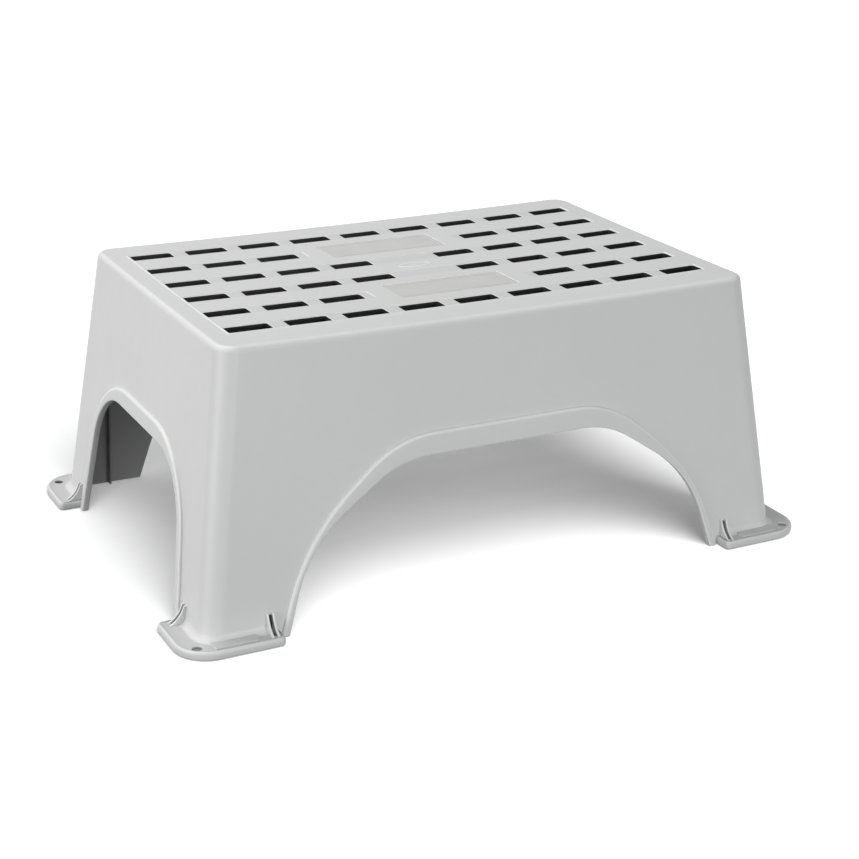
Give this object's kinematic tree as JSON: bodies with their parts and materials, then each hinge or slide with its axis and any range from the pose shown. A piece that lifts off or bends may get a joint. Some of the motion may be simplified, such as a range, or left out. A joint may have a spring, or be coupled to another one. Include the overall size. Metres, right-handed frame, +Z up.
{
  "type": "step stool",
  "caption": "Low moulded step with a slotted anti-slip deck, arched sides and flanged corner feet that can be pegged or screwed down.",
  "frame": {"origin": "on the floor under the middle of the deck", "axes": "+X along the length of the deck, +Y to the back, +Z up"},
  "size_m": [0.558, 0.384, 0.225],
  "materials": {
    "shell": "fine satin grain",
    "label": "matt, finely stippled",
    "pad": "matt"
  },
  "bodies": {
    "root": {"step_shell": "shell", "rear_label": "label", "front_label": "label", "pad_front_left": "pad", "pad_front_right": "pad", "pad_rear_left": "pad", "pad_rear_right": "pad"}
  },
  "joints": []
}
